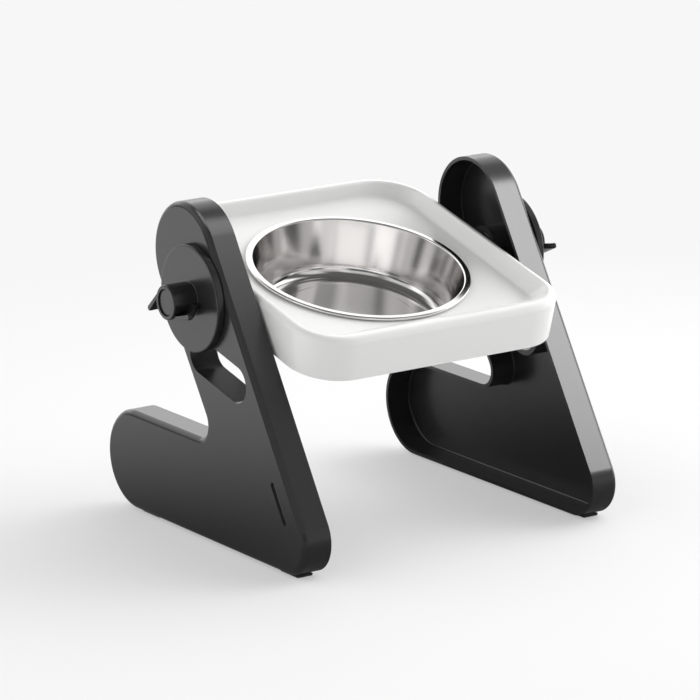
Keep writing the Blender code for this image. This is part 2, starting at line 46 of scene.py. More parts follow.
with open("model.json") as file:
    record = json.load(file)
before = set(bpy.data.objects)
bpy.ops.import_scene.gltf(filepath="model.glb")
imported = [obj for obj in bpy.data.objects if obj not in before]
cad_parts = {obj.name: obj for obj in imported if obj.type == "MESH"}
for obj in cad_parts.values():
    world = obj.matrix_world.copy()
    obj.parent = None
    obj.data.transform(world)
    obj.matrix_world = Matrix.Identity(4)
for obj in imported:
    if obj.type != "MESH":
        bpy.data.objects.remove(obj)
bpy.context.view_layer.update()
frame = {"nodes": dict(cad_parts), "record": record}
JOINTS = {joint["name"]: joint for joint in frame["record"]["behaviour"]["joints"]}
PIVOT = Vector(JOINTS["tray_tilt"]["pos_m"])
SLOT_UP = Vector(JOINTS["height_slide"]["axis"])
TRAY_UP = Vector(JOINTS["bowl_lift"]["axis"])
SIDES = {"left": -1, "right": 1}
GAP = 0.0003         # between pieces that touch
BROKEN_EDGE = 0.00035
SHANK_HOLE = 0.0034  # radius of every hole that a clamp screw passes
PEG_PLACES = ((-0.0140, -0.0060), (0.0150, -0.0060))  # of a pad's two pegs, from the clamp axis
PEG_RADIUS = 0.0016


def size(name, about, millimetres):
    """A length that a user can change."""
    return bpy.props.FloatProperty(name=name, description=about, default=millimetres / 1000, min=0.0,
                                   precision=5, subtype="DISTANCE", unit="LENGTH")


def angle(name, about, degrees):
    return bpy.props.FloatProperty(name=name, description=about, default=radians(degrees),
                                   subtype="ANGLE", unit="ROTATION")


def colour(name, about, value):
    return bpy.props.FloatVectorProperty(name=name, description=about, default=value, size=3, min=0.0,
                                         max=1.0, subtype="COLOR")


def share(name, about, value, top=1.0):
    return bpy.props.FloatProperty(name=name, description=about, default=value, min=0.0, max=top)


class LegSizes(bpy.types.PropertyGroup):
    length: size("Length", "Toe to heel", 220)
    height: size("Height", "Without the feet", 200)
    spread: size("Spread", "Over the two outer faces", 221)
    depth: size("Depth", "How deep the shell is across", 18.4)
    wall: size("Wall", "Thickness of the shell", 2.2)
    edge: size("Edge", "Eased edge round the outer face", 3.2)
    lobe: size("Lobe radius", "Round top of the upright", 33.5)
    heel: size("Heel radius", "Half the height of the arm", 30.5)
    toe: size("Toe radius", "Round front end on the floor", 20.2)
    notch: size("Notch radius", "Fillet between the arm and the upright", 9.8)
    lean: angle("Upright lean", "How far the upright leans back", 35.55)
    back_lean: angle("Back lean", "Extra lean of the back edge", 1.85)
    proud: size("Foot height", "How far the feet lift the leg", 1.5)


class SlotSizes(bpy.types.PropertyGroup):
    width: size("Width", "Across the guide slot", 22)
    drop: size("Drop", "Length of the upper run", 34.2)
    reach: size("Reach", "Length of the forward run", 40.1)
    fall: angle("Fall", "How steeply the forward run falls", 13.6)
    fillet: size("Fillet", "Inner corner between the two runs", 6)
    collar: size("Collar", "Wall round the slot", 3.2)
    strap_width: size("Narrow slot width", "Across the narrow slot near the toe", 3.6)
    strap_length: size("Narrow slot length", "End to end", 26.5)
    strap_inset: size("Narrow slot inset", "From the front edge", 15)
    strap_up: size("Narrow slot place", "Its middle, up along the front edge", 20.8)


class TraySizes(bpy.types.PropertyGroup):
    half: size("Half width", "From the middle to a side", 90)
    length: size("Length", "Front to rear", 190)
    forward: size("Forward", "How far its middle lies ahead of the clamp axis", 3.6)
    wall: size("Wall", "Thickness of the moulding", 2.2)
    draft: size("Draft", "Taper of the skirt", 0.5)
    corner_front: size("Front corner", "Corner radius at the front", 29)
    corner_rear: size("Rear corner", "Corner radius at the rear", 34)
    rim_up: size("Rim height", "Above the clamp axis at the rear", 10.5)
    rim_climb: angle("Rim climb", "How the rim rises toward the cat", 0.9)
    rim_round: size("Rim round", "Outer edge of the rim", 4)
    skirt: size("Skirt", "Below the clamp axis", 13.4)
    floor_up: size("Floor height", "Above the clamp axis", 2.1)


class BowlSizes(bpy.types.PropertyGroup):
    forward: size("Forward", "How far its middle lies ahead of the clamp axis", 3.1)
    radius: size("Rim radius", "Over the rolled rim", 67.5)
    mouth: size("Mouth radius", "Inside the rim", 63)
    base: size("Base radius", "Inner wall where the floor's fillet starts", 57)
    depth: size("Depth", "Rim to floor", 34)
    fillet: size("Fillet", "Between wall and floor", 7)
    panel: size("Panel radius", "Raised panel in the floor", 40)
    rise: size("Panel rise", "Height of the panel", 1)
    wall: size("Wall", "Thickness of the steel", 0.8)
    lip: size("Lip", "Height of the rolled rim", 2.1)


class KnobSizes(bpy.types.PropertyGroup):
    disc: size("Disc radius", "Clamp disc", 31.9)
    thickness: size("Disc thickness", "Clamp disc", 4.4)
    disc_round: size("Disc edge", "Round on the disc's edge", 1.1)
    barrel: size("Barrel radius", "Barrel under the fingers", 10.3)
    length: size("Barrel length", "Disc to end", 16.1)
    barrel_round: size("Barrel edge", "Round on the barrel's end", 0.8)
    bead: size("Bead", "Radius of a wing's edge", 1.7)
    cap: size("Lid radius", "Disc that closes the barrel", 7.7)
    cap_thickness: size("Lid thickness", "Disc that closes the barrel", 1.6)
    recess: size("Lid recess", "How far the lid sits in", 0.9)


class StandLooks(bpy.types.PropertyGroup):
    black: colour("Black plastic", "Legs, knobs, guides and pads", (0.0025, 0.0026, 0.0027))
    black_rough: share("Black roughness", "Satin gloss of the legs and knobs", 0.17)
    white: colour("White plastic", "Tray", (0.80, 0.80, 0.795))
    white_rough: share("White roughness", "Gloss of the tray", 0.34)
    steel: colour("Steel", "Bowl", (0.80, 0.79, 0.775))
    steel_rough: share("Steel roughness", "Polish of the bowl", 0.19)
    rubber: colour("Rubber", "Feet", (0.02, 0.02, 0.02))
    zinc: colour("Zinc", "Clamp screws", (0.60, 0.60, 0.58))
    brass: colour("Brass", "Threaded inserts", (0.78, 0.57, 0.27))


class StudioSettings(bpy.types.PropertyGroup):
    floor: colour("Floor", "Pale floor and backdrop", (0.83, 0.83, 0.83))
    backdrop: share("Backdrop", "How bright the backdrop looks", 0.93)
    key: share("Key light", "Power of the large light at the right, in watts", 10.5, 200.0)
    softbox_left: share("Left softbox", "Power of the softbox over the left leg, in watts", 4.11, 200.0)
    softbox_right: share("Right softbox", "Power of the softbox over the right leg, in watts", 18.495, 200.0)
    right: share("Room, right", "Strength of the room at the right", 2.48, 9.0)
    left: share("Room, left", "Strength of the room at the left", 1.26, 9.0)
    rear: share("Room, rear", "Strength of the room behind", 1.02, 9.0)
    above: share("Room, above", "Strength of the room overhead", 0.15, 9.0)
    lift: share("Shadow lift", "How much the shadows on the floor are lightened", 0.40)
    clear: size("Floor radius", "Where the floor melts into the backdrop", 420)
    gleam: share("Floor gleam", "How bright the far floor looks in shiny surfaces", 1.3, 5.0)
    # Painted shade: within about this distance of the stand, shiny surfaces see the floor painted dark.
    painted_shade_radius: size("Gleam radius", "How far from the stand the floor's gleam builds up", 300)
    shine_back: share("Backdrop shine", "How bright the backdrop looks in shiny surfaces", 1.1, 20.0)
    shine_base: share("Room shine", "How bright the rest of the room looks in shiny surfaces", 0.12)


GROUPS = {"bowl_stand_leg": LegSizes, "bowl_stand_slot": SlotSizes, "bowl_stand_tray": TraySizes,
          "bowl_stand_bowl": BowlSizes, "bowl_stand_knob": KnobSizes, "bowl_stand_looks": StandLooks,
          "bowl_stand_studio": StudioSettings}


class Wire:
    """The output of a node. Arithmetic on it adds Math nodes."""

    def __init__(self, graph, socket):
        self.graph = graph
        self.socket = socket

    def math(self, operation, other=0.0):
        return self.graph.node("ShaderNodeMath", {"operation": operation}, _0=self, _1=other)

    def __add__(self, other):
        return self.math("ADD", other)

    def __sub__(self, other):
        return self.math("SUBTRACT", other)

    def __rsub__(self, other):
        return self * -1 + other

    def __mul__(self, other):
        return self.math("MULTIPLY", other)

    def __truediv__(self, other):
        return self.math("DIVIDE", other)

    def __pow__(self, other):
        return self.math("POWER", other)

    __radd__ = __add__

    def fall_off(self):
        """e to the power of minus the value."""
        return (self * -1).math("EXPONENT")

    def ramp(self, start, end, low=0.0, high=1.0):
        """Smooth step from low to high as the value runs from start to end."""
        settings = {"interpolation_type": "SMOOTHSTEP"}
        return self.graph.node("ShaderNodeMapRange", settings, **{
            "Value": self, "From Min": start, "From Max": end, "To Min": low, "To Max": high})


class Graph:
    """A node tree being filled."""

    def __init__(self, tree):
        self.tree = tree

    def node(self, kind, settings=None, output=0, **sockets):
        """Adds a node: settings first, then values or links of its sockets, by name or by _number."""
        item = self.tree.nodes.new(kind)
        for name, value in (settings or {}).items():
            setattr(item, name, value)
        for name, value in sockets.items():
            socket = item.inputs[int(name[1:])] if name[0] == "_" else item.inputs[name]
            if isinstance(value, Wire):
                self.tree.links.new(value.socket, socket)
            else:
                socket.default_value = value
        return Wire(self, item.outputs[output]) if item.outputs else item

    def coordinates(self):
        return self.node("ShaderNodeTexCoord", output="Object")

    def noise(self, scale, detail=2.0, roughness=0.5, vector=None):
        return self.node("ShaderNodeTexNoise", Vector=vector or self.coordinates(), Scale=scale,
                         Detail=detail, Roughness=roughness)

    def split(self, vector):
        """The three numbers of a vector."""
        item = self.node("ShaderNodeSeparateXYZ", Vector=vector).socket.node
        return [Wire(self, output) for output in item.outputs]

    def rays(self):
        """Whether a ray comes from the camera, and whether it is a glossy one."""
        item = self.node("ShaderNodeLightPath").socket.node
        return [Wire(self, item.outputs[name]) for name in ("Is Camera Ray", "Is Glossy Ray")]

    def blend(self, factor, first, second):
        """Mixes two colours, whose sockets on a Mix node are number 6 and 7 in and 2 out."""
        return self.node("ShaderNodeMix", {"data_type": "RGBA"}, 2, _0=factor, _6=first, _7=second)

    def bump(self, height, strength, distance):
        return self.node("ShaderNodeBump", Height=height, Strength=strength, Distance=distance)


def rgba(value, factor=1.0):
    return (value[0] * factor, value[1] * factor, value[2] * factor, 1.0)


def surface(name, look, **fixed):
    """A Principled material. look(graph) gives the sockets that change over the surface."""
    material = bpy.data.materials.new(name)
    material.use_nodes = True
    graph = Graph(material.node_tree)
    shader = material.node_tree.nodes["Principled BSDF"]
    for socket, value in fixed.items():
        shader.inputs[socket.replace("_", " ")].default_value = value
    for socket, wire in look(graph).items():
        material.node_tree.links.new(wire.socket, shader.inputs[socket])
    return material


def black_plastic(looks):
    """Glossy moulded black: faint cloudiness in the gloss and a trace of orange peel."""
    def look(graph):
        cloud = graph.noise(22.0, 3.0)
        fine = graph.noise(900.0, 2.0)
        rough = looks.black_rough + (cloud - 0.5) * 0.07 + (fine - 0.5) * 0.04
        tint = graph.blend(cloud, rgba(looks.black, 0.92), rgba(looks.black, 1.08))
        return {"Base Color": tint, "Roughness": rough,
                "Normal": graph.bump(graph.noise(260.0, 1.0), 0.05, 0.0002)}
    return surface("black_plastic", look, IOR=1.5)


def white_plastic(looks):
    """Glossy moulded white, a little softer where it has been handled."""
    def look(graph):
        cloud = graph.noise(14.0, 3.0)
        rough = looks.white_rough + (cloud - 0.5) * 0.08
        tint = graph.blend(cloud, rgba(looks.white, 0.99), rgba(looks.white, 1.01))
        return {"Base Color": tint, "Roughness": rough,
                "Normal": graph.bump(graph.noise(180.0, 1.0), 0.04, 0.0002)}
    return surface("white_plastic", look, IOR=1.5)


def bowl_steel(looks):
    """Spun and polished steel: fine rings about the bowl's axis, and a duller panel in its floor."""
    def look(graph):
        across, along, up = graph.split(graph.coordinates())
        radius = (across * across + along * along) ** 0.5
        ring = graph.node("ShaderNodeCombineXYZ", X=radius, Y=up)
        fine = graph.noise(2600.0, 3.0, 0.6, ring)
        broad = graph.noise(160.0, 2.0, 0.5, ring)
        rough = (looks.steel_rough + (fine - 0.5) * 0.05 + (broad - 0.5) * 0.04
                 + radius.ramp(0.039, 0.044, 0.12, 0.0))
        tint = graph.blend(broad, rgba(looks.steel, 0.97), rgba(looks.steel, 1.02))
        return {"Base Color": tint, "Roughness": rough, "Normal": graph.bump(fine, 0.03, 0.0001)}
    return surface("stainless_steel", look, Metallic=1.0, Anisotropic=0.75, Anisotropic_Rotation=0.25)


def rubber(looks):
    """Matte moulded rubber with fine grain."""
    def look(graph):
        grain = graph.noise(1500.0, 3.0)
        tint = graph.blend(graph.noise(120.0), rgba(looks.rubber, 0.8), rgba(looks.rubber, 1.3))
        return {"Base Color": tint, "Roughness": 0.72 + (grain - 0.5) * 0.2,
                "Normal": graph.bump(grain, 0.3, 0.0002)}
    return surface("black_rubber", look)


def plated(name, tone, grain_scale, rough_middle):
    """Turned or plated metal with a mottled sheen."""
    def look(graph):
        grain = graph.noise(grain_scale, 4.0, 0.6)
        tint = graph.blend(grain, rgba(tone, 0.85), rgba(tone, 1.1))
        return {"Base Color": tint, "Roughness": rough_middle + (grain - 0.5) * 0.25,
                "Normal": graph.bump(grain, 0.15, 0.0001)}
    return surface(name, look, Metallic=1.0)


def material(name):
    """A material of this stand, made once."""
    found = bpy.data.materials.get(name)
    if found:
        return found
    looks = bpy.context.scene.bowl_stand_looks
    makers = {"black_plastic": black_plastic, "white_plastic": white_plastic, "black_rubber": rubber,
              "stainless_steel": bowl_steel,
              "zinc_steel": lambda look: plated("zinc_steel", look.zinc, 700.0, 0.36),
              "brass": lambda look: plated("brass", look.brass, 500.0, 0.33)}
    return makers[name](looks)


def skin(rings, caps=True):
    """Bridges rings of equal length, each an (x, y, z) list, into a closed surface.

    The two ends are capped, or else the last ring is joined to the first.
    """
    work = bmesh.new()
    rows = [[work.verts.new(point) for point in ring] for ring in rings]
    count = len(rings[0])
    pairs = list(zip(rows, rows[1:]))
    if not caps:
        pairs.append((rows[-1], rows[0]))
    for near, far in pairs:
        for i in range(count):
            j = (i + 1) % count
            work.faces.new((near[i], near[j], far[j], far[i]))
    if caps:
        work.faces.new(reversed(rows[0]))
        work.faces.new(rows[-1])
    mesh = bpy.data.meshes.new("skin")
    work.to_mesh(mesh)
    work.free()
    return mesh


def turned(profile, steps):
    """An (r, z) profile turned about Z, outer side running down; it is closed unless it meets the axis."""
    work = bmesh.new()
    rows = []
    for r, z in profile:
        if r < 1e-7:
            rows.append([work.verts.new((0, 0, z))])
        else:
            rows.append([work.verts.new((r * cos(2 * pi * i / steps), r * sin(2 * pi * i / steps), z))
                         for i in range(steps)])
    pairs = list(zip(rows, rows[1:]))
    if profile[0][0] > 1e-7:
        pairs.append((rows[-1], rows[0]))
    for upper, lower in pairs:
        for i in range(steps):
            j = (i + 1) % steps
            corners = [upper[i % len(upper)], lower[i % len(lower)], lower[j % len(lower)],
                       upper[j % len(upper)]]
            corners = [c for n, c in enumerate(corners) if c not in corners[:n]]
            if len(corners) > 2:
                work.faces.new(corners)
    mesh = bpy.data.meshes.new("turned")
    work.to_mesh(mesh)
    work.free()
    return mesh


def at_x(outline, x):
    """A (y, z) outline as a ring at one place on X."""
    return [(x, y, z) for y, z in outline]


def prism(outline, start, end):
    """A closed prism of an anticlockwise (y, z) outline between two places on X."""
    low, high = sorted((start, end))
    return skin([at_x(outline, low), at_x(outline, high)])


def arc(centre, radius, start, end, steps):
    """Points of an arc, both ends kept."""
    angles = [start + (end - start) * i / steps for i in range(steps + 1)]
    return [(centre[0] + radius * cos(a), centre[1] + radius * sin(a)) for a in angles]


def circle_at(centre, radius, steps):
    """A whole circle, each point once."""
    return arc(centre, radius, 0, 2 * pi, steps)[:-1]


def lerp(first, second, t):
    """A ring between two rings."""
    return [tuple(a + (b - a) * t for a, b in zip(p, q)) for p, q in zip(first, second)]


def eased(first, middle, last, steps):
    """Rings of a soft bend that starts on one ring, turns at the middle one and ends on the last."""
    shares = [i / steps for i in range(steps + 1)]
    return [lerp(lerp(first, middle, t), lerp(middle, last, t), t) for t in shares]


def raw(mesh):
    """A bare object of the mesh, for modifiers to work on."""
    item = bpy.data.objects.new("raw", mesh)
    bpy.context.scene.collection.objects.link(item)
    return item


def settle(item):
    """The object's mesh with its modifiers applied; the object and its cutters go."""
    bpy.context.view_layer.update()
    graph = bpy.context.evaluated_depsgraph_get()
    mesh = bpy.data.meshes.new_from_object(item.evaluated_get(graph))
    cutters = [step.object for step in item.modifiers if step.type == "BOOLEAN"]
    for other in cutters + [item]:
        bpy.data.objects.remove(other)
    return mesh


def combine(item, mesh, operation):
    """Adds or cuts away another mesh."""
    step = item.modifiers.new("combine", "BOOLEAN")
    step.operation = operation
    step.object = raw(mesh)


def soften(item, width=BROKEN_EDGE, segments=2):
    """Rounds every edge sharper than a draft or a facet."""
    step = item.modifiers.new("soften", "BEVEL")
    step.width = width
    step.segments = segments
    step.limit_method = "ANGLE"
    step.angle_limit = radians(50)


def along_x(mesh, place, way):
    """Turns a piece made about Z onto the X axis, pointing outward on its side."""
    mesh.transform(Matrix.Translation(place) @ Matrix.Rotation(way * pi / 2, 4, "Y"))
    return mesh


def tray_place():
    """From the tray's own level place to where the tray stands."""
    return Matrix.Translation(PIVOT) @ Matrix.Rotation(atan2(-TRAY_UP.y, TRAY_UP.z), 4, "X")


def tilt(mesh):
    """Moves a mesh made level to where the tray stands."""
    mesh.transform(tray_place())
    return mesh


def finish_piece(name, mesh, body, slot, node, crease=radians(30), place=None):
    """Puts a finished piece in place of a CAD node; edges sharper than the crease stay sharp."""
    mesh.name = name
    mesh.shade_smooth()
    mesh.set_sharp_from_angle(angle=crease)
    mesh.materials.clear()
    mesh.materials.append(material(slot))
    item = bpy.data.objects.new(name, mesh)
    item.matrix_world = place or Matrix()
    bpy.context.scene.collection.objects.link(item)
    flat = item.modifiers.new("flat_faces", "WEIGHTED_NORMAL")
    flat.keep_sharp = True
    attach(item, body)
    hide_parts(node)
    return item


def edge_profile(turns):
    """(inward, outward) points of an edge that turns from the side wall to the outer face.

    Each turn is (radius, share of the quarter turn, steps).
    """
    points, done = [(0.0, 0.0)], 0.0
    for radius, portion, steps in turns:
        for i in range(steps):
            before, after = done + portion * i / steps, done + portion * (i + 1) / steps
            inward, outward = points[-1]
            points.append((inward + radius * (cos(before * pi / 2) - cos(after * pi / 2)),
                           outward + radius * (sin(after * pi / 2) - sin(before * pi / 2))))
        done += portion
    return points


class LegShape:
    """Outlines of a leg in the (y, z) plane, as tangent arcs in anticlockwise order."""

    def __init__(self, leg, slot):
        self.leg = leg
        self.slot = slot
        self.toe = (-leg.length / 2 + leg.toe, leg.toe + leg.proud)
        self.heel = (leg.length / 2 - leg.heel, leg.heel + leg.proud)
        lobe_z = leg.height - leg.lobe + leg.proud
        self.lobe = (self.toe[0] + (lobe_z - self.toe[1]) * tan(leg.lean), lobe_z)
        rise = (self.lobe[0] - self.toe[0], self.lobe[1] - self.toe[1])
        self.front = atan2(rise[1], rise[0]) + acos((leg.toe - leg.lobe) / hypot(*rise))
        self.outside = leg.spread / 2
        self.inside = self.outside - leg.depth

    def outline(self, inset):
        """The whole leg: heel, notch, lobe and toe."""
        leg, lobe = self.leg, self.lobe
        back = self.front - pi - leg.back_lean
        notch_z = 2 * leg.heel + leg.proud + leg.notch
        notch_y = lobe[0] + (leg.lobe + leg.notch - (notch_z - lobe[1]) * sin(back)) / cos(back)
        points = arc(self.heel, leg.heel - inset, -pi / 2, pi / 2, 40)
        points += arc((notch_y, notch_z), leg.notch + inset, 1.5 * pi, back + pi, 16)
        points += arc(lobe, leg.lobe - inset, back, self.front, 48)
        points += arc(self.toe, leg.toe - inset, self.front, 1.5 * pi, 28)
        return points

    def guide_slot(self, grow):
        """The upper run along the upright's slide and the forward run that falls toward the toe."""
        slot = self.slot
        half = slot.width / 2 + grow
        lean = atan2(SLOT_UP.y, SLOT_UP.z)
        pivot = (PIVOT.y, PIVOT.z)
        elbow = (pivot[0] - slot.drop * sin(lean), pivot[1] - slot.drop * cos(lean))
        end = (elbow[0] - slot.reach * cos(slot.fall), elbow[1] - slot.reach * sin(slot.fall))
        run = pi + slot.fall
        above, below = run - pi / 2, run + pi / 2
        bend = pi / 2 + slot.fall + lean
        reach = (slot.width / 2 + slot.fillet) / sin(bend / 2)
        toward = pi / 2 - lean + bend / 2
        corner = (elbow[0] + reach * cos(toward), elbow[1] + reach * sin(toward))
        points = arc(pivot, half, -lean, pi - lean, 36)
        points += arc(corner, slot.fillet - grow, -lean, above - pi, 8)
        points += arc(end, half, above, below, 30)
        points += arc(elbow, half, below - 2 * pi, -lean, 18)
        return points

    def narrow_slot(self):
        """The slot near the toe, along the front edge."""
        leg, slot = self.leg, self.slot
        along = self.front - pi / 2
        base = (self.toe[0] + (leg.toe - slot.strap_inset) * cos(self.front),
                self.toe[1] + (leg.toe - slot.strap_inset) * sin(self.front))
        half = (slot.strap_length - slot.strap_width) / 2
        points = []
        for way in (1, -1):
            middle = slot.strap_up + way * half
            end = (base[0] + middle * cos(along), base[1] + middle * sin(along))
            first = along - way * pi / 2
            points += arc(end, slot.strap_width / 2, first, first + pi, 12)
        return points


class BOWLSTAND_OT_legs(bpy.types.Operator):
    """Make the two black leg shells with their guide slots"""
    bl_idname = "bowl_stand.legs"
    bl_label = "Legs"

    def execute(self, context):
        leg, slot = context.scene.bowl_stand_leg, context.scene.bowl_stand_slot
        shape = LegShape(leg, slot)
        # The outer edge turns tightly, then widely, then tightly; the wide turn takes what is left of it.
        tight = (0.0006, 0.2)
        small = edge_profile([(*tight, 1), (0.0, 0.6, 1), (*tight, 1)])[-1][0]
        wide = (leg.edge - small) / (cos(0.1 * pi) - cos(0.4 * pi))
        edge = edge_profile([(*tight, 3), (wide, 0.6, 8), (*tight, 3)])
        fillet = 0.0012
        inner = edge_profile([(fillet, 1.0, 6)])
        start = shape.outside - leg.edge
        for side, way in SIDES.items():
            sections = [(start + leg.edge - leg.wall - fillet + outward, leg.wall + inward)
                        for inward, outward in reversed(inner)]
            sections += [(shape.inside, leg.wall), (shape.inside, 0.0)]
            sections += [(start + outward, inward) for inward, outward in edge]
            mesh = skin([at_x(shape.outline(inset), way * x) for x, inset in sections])
            if way < 0:
                mesh.flip_normals()
            item = raw(mesh)
            middle = shape.outside - leg.wall / 2
            combine(item, prism(shape.guide_slot(slot.collar), way * shape.inside, way * middle), "UNION")
            for outline in (shape.guide_slot(0.0), shape.narrow_slot()):
                combine(item, prism(outline, way * (shape.inside - leg.wall),
                                    way * (shape.outside + leg.wall)), "DIFFERENCE")
            soften(item)
            shell = finish_piece(f"leg_shell_{side}", settle(item), "legs", "black_plastic", f"leg_{side}")
            if f"softbox_{side}" in bpy.data.collections:  # what the studio's softbox lights, if it is there
                bpy.data.collections[f"softbox_{side}"].objects.link(shell)
        return {"FINISHED"}


class BOWLSTAND_OT_feet(bpy.types.Operator):
    """Make the four rubber pads under the legs"""
    bl_idname = "bowl_stand.feet"
    bl_label = "Feet"

    def execute(self, context):
        leg = context.scene.bowl_stand_leg
        shape = LegShape(leg, context.scene.bowl_stand_slot)
        for side, way in SIDES.items():
            for end in ("front", "rear"):
                low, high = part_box(f"foot_{end}_{side}")
                y0, y1, z1 = low[1], high[1], high[2]
                ease = leg.proud / 2
                outline = [(y0 + ease, 0), (y1 - ease, 0)] + arc((y1 - ease, ease), ease, -pi / 2, 0, 5)[1:]
                outline += [(y1, z1), (y0, z1)] + arc((y0 + ease, ease), ease, pi, 1.5 * pi, 5)[:-1]
                item = raw(prism(outline, low[0], high[0]))
                above = prism(shape.outline(-GAP), way * (shape.inside - leg.wall),
                              way * (shape.outside + leg.wall))
                combine(item, above, "DIFFERENCE")
                soften(item)
                name = f"foot_{end}_{side}"
                finish_piece(name + "_pad", settle(item), "legs", "black_rubber", name)
        return {"FINISHED"}


def rounded_box(half, front, rear, front_corner, rear_corner, steps, between):
    """Points of a rounded rectangle, anticlockwise from above, as (x, y)."""
    centres = [(half - front_corner, front + front_corner, front_corner, -pi / 2),
               (half - rear_corner, rear - rear_corner, rear_corner, 0),
               (-half + rear_corner, rear - rear_corner, rear_corner, pi / 2),
               (-half + front_corner, front + front_corner, front_corner, pi)]
    corners = [arc((x, y), r, a, a + pi / 2, steps) for x, y, r, a in centres]
    points = []
    for corner, after in zip(corners, corners[1:] + corners[:1]):
        points += corner
        start, end = corner[-1], after[0]
        points += [(start[0] + (end[0] - start[0]) * i / between,
                    start[1] + (end[1] - start[1]) * i / between) for i in range(1, between)]
    return points


# How far in from the tray's side, rear and front a ring lies, above and underneath.
CREST, CREST_BELOW = (0.0052, 0.0066, 0.0080), (0.0037, 0.0052, 0.0074)
BASIN, BASIN_BELOW = (0.0086, 0.0108, 0.0275), (0.0071, 0.0094, 0.0269)
# Its front and rear corner radii, and how far the hole's collar reaches down.
BASIN_CORNERS, BASIN_BELOW_CORNERS = (0.0080, 0.0270), (0.0090, 0.0280)
COLLAR = 0.0080


def tray_rings(tray, hole_y, hole):
    """Rings from the skirt's lower edge over the rim and down the hole's collar, and back underneath."""
    front, rear = -tray.forward - tray.length / 2, -tray.forward + tray.length / 2

    def ring(side_in, rear_in, front_in, front_corner, rear_corner, z, climb=0.0):
        outline = rounded_box(tray.half - side_in, front + front_in, rear - rear_in, front_corner,
                              rear_corner, 16, 14)
        return [(x, y, z + (rear - y) * climb) for x, y in outline]

    climb = tan(tray.rim_climb)
    rings = [ring(tray.draft, tray.draft, tray.draft, tray.corner_front, tray.corner_rear, -tray.skirt)]
    for i in range(9):
        turn = i * pi / 16
        inset = tray.rim_round * (1 - cos(turn))
        rings.append(ring(inset, inset, inset, tray.corner_front - inset, tray.corner_rear - inset,
                          tray.rim_up - tray.rim_round * (1 - sin(turn)), climb))
    crest = ring(*CREST, tray.corner_front - CREST[2], tray.corner_rear - CREST[1], tray.rim_up, climb)
    foot = ring(*BASIN, *BASIN_CORNERS, tray.floor_up)
    count = len(crest)
    start = -pi / 2 + 14 * pi / count

    def circle(radius, z):
        outline = arc((0, hole_y), radius, start, start + 2 * pi, count)[:-1]
        return [(x, y, z) for x, y in outline]

    ease = 0.0006
    edge = [circle(hole + 0.0010, tray.floor_up)]
    edge += [circle(hole + ease * (1 - sin(a)), tray.floor_up - ease * (1 - cos(a)))
             for a in (0, pi / 8, pi / 4, 3 * pi / 8, pi / 2)]
    rings += eased(lerp(rings[-1], crest, 0.4), crest, lerp(crest, foot, 0.3), 6)
    rings += eased(lerp(crest, foot, 0.8), foot, lerp(foot, edge[0], 0.1), 6)
    rings += edge + [circle(hole, tray.floor_up - COLLAR), circle(hole + tray.wall, tray.floor_up - COLLAR),
                     circle(hole + tray.wall, tray.floor_up - tray.wall)]
    rings.append(ring(*BASIN_BELOW, *BASIN_BELOW_CORNERS, tray.floor_up - tray.wall))
    rings.append(ring(*CREST_BELOW, tray.corner_front - CREST_BELOW[2], tray.corner_rear - CREST_BELOW[1],
                      tray.rim_up - tray.wall, climb))
    for inset, z, rise in ((tray.wall, tray.rim_up - tray.rim_round, climb),
                           (tray.draft + tray.wall, -tray.skirt, 0.0)):
        rings.append(ring(inset, inset, inset, tray.corner_front - inset, tray.corner_rear - inset, z, rise))
    return rings


class BOWLSTAND_OT_tray(bpy.types.Operator):
    """Make the white tray with its rim, skirt, hole, ribs and bosses"""
    bl_idname = "bowl_stand.tray"
    bl_label = "Tray"

    def execute(self, context):
        tray, bowl = context.scene.bowl_stand_tray, context.scene.bowl_stand_bowl
        hole = bowl.mouth + bowl.wall + 0.0009
        item = raw(skin(tray_rings(tray, -bowl.forward, hole), False))
        inside, outside = tray.half - tray.wall / 2, tray.half + tray.wall
        top, bottom = tray.floor_up - tray.wall / 2, tray.floor_up - COLLAR
        rib_off, rib_half = 0.0420, 0.0009
        boss_radius, boss_depth = 0.0056, 0.0064
        bore_radius, bore_depth = 0.0043, 0.0055
        for way in SIDES.values():
            for place in (-rib_off, rib_off):
                y = place - bowl.forward
                start = sqrt(hole ** 2 - (rib_off - 2 * rib_half) ** 2) + tray.wall / 2
                rib = [(y - rib_half, bottom), (y + rib_half, bottom), (y + rib_half, top), (y - rib_half, top)]
                combine(item, prism(rib, way * start, way * inside), "UNION")
            boss = prism(circle_at((0, 0), boss_radius, 40), way * (tray.half - boss_depth), way * inside)
            combine(item, boss, "UNION")
            bore = prism(circle_at((0, 0), bore_radius, 40), way * (tray.half - bore_depth), way * outside)
            combine(item, bore, "DIFFERENCE")
            for place in PEG_PLACES:
                peg_hole = prism(circle_at(place, PEG_RADIUS + GAP, 24), way * (tray.half - 2 * tray.wall),
                                 way * outside)
                combine(item, peg_hole, "DIFFERENCE")
        soften(item, 0.00045, 3)
        finish_piece("tray_moulding", tilt(settle(item)), "tray", "white_plastic", "tray", radians(35))
        return {"FINISHED"}


